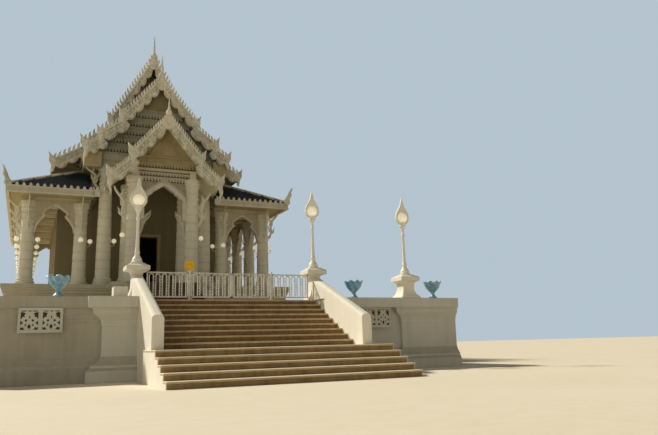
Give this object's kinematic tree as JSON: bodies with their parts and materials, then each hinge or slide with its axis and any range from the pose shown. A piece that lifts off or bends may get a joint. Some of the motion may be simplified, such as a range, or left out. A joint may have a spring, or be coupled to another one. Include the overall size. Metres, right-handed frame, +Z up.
{
  "type": "buddhist temple hall with terrace and stair",
  "caption": "White temple hall with stepped gable roofs and arcaded galleries, on a terrace with a grand stair, lamps and swinging gates.",
  "frame": {"origin": "centre of the footprint at ground level", "axes": "+Z up, the stair and the porch face -Y, +X to the right when facing the front"},
  "size_m": [14.9, 36.14, 18.36],
  "materials": {
    "plaster": "white painted render, matt and lightly weathered",
    "step_stone": "brown stone risers with paler worn treads",
    "roof_tile": "dark blue glazed scale tiles",
    "rail_metal": "silver grey paint, worn",
    "lamp_glass": "opal white glass",
    "pot_glaze": "blue green glaze",
    "gilt": "gold paint"
  },
  "bodies": {
    "temple": {"terrace_core": "plaster", "terrace_front_left": "plaster", "terrace_front_right": "plaster", "vent_panel_left": "plaster", "vent_panel_right": "plaster", "left_cheek_wall": "plaster", "right_cheek_wall": "plaster", "lamp_pedestal": "plaster", "left_lamp_post": "plaster", "right_lamp_post": "plaster", "terrace_lamp_post": "plaster", "hall_plinth": "plaster", "left_wing_arcade": "plaster", "right_wing_arcade": "plaster", "left_side_arcade": "plaster", "right_side_arcade": "plaster", "rear_arcade": "plaster", "hall_front_wall": "plaster", "hall_rear_wall": "plaster", "hall_left_wall": "plaster", "hall_right_wall": "plaster", "hall_ceiling": "plaster", "portico": "plaster", "rear_gable_base": "plaster", "left_porch_columns": "plaster", "right_porch_columns": "plaster", "porch_arch": "plaster", "gallery_ceiling": "plaster", "porch_bargeboards": "plaster", "porch_tympanum": "plaster", "front_bargeboards": "plaster", "front_tympanum": "plaster", "rear_bargeboards": "plaster", "rear_tympanum": "plaster", "main_front_bargeboards": "plaster", "main_front_tympanum": "plaster", "main_rear_bargeboards": "plaster", "main_rear_tympanum": "plaster", "lower_stair": "step_stone", "upper_stair": "step_stone", "hall_steps": "step_stone", "gallery_roof": "roof_tile", "porch_roof": "roof_tile", "front_roof": "roof_tile", "rear_roof": "roof_tile", "main_roof": "roof_tile", "left_railing": "rail_metal", "right_railing": "rail_metal", "left_lamp_globe": "lamp_glass", "right_lamp_globe": "lamp_glass", "terrace_lamp_globe": "lamp_glass", "left_pot": "pot_glaze", "middle_pot": "pot_glaze", "right_pot": "pot_glaze", "gate_disc": "gilt"},
    "left_gate": {"left_gate_leaf": "rail_metal"},
    "right_gate": {"right_gate_leaf": "rail_metal"}
  },
  "joints": [
    {"name": "left_gate_swing", "type": "hinge", "parent": "temple", "child": "left_gate", "pos_m": [-1.24, -12.22, 2.24], "axis": [0, 0, 1], "range_deg": [0, 90]},
    {"name": "right_gate_swing", "type": "hinge", "parent": "temple", "child": "right_gate", "pos_m": [1.24, -12.22, 2.24], "axis": [0, 0, -1], "range_deg": [0, 90]}
  ]
}
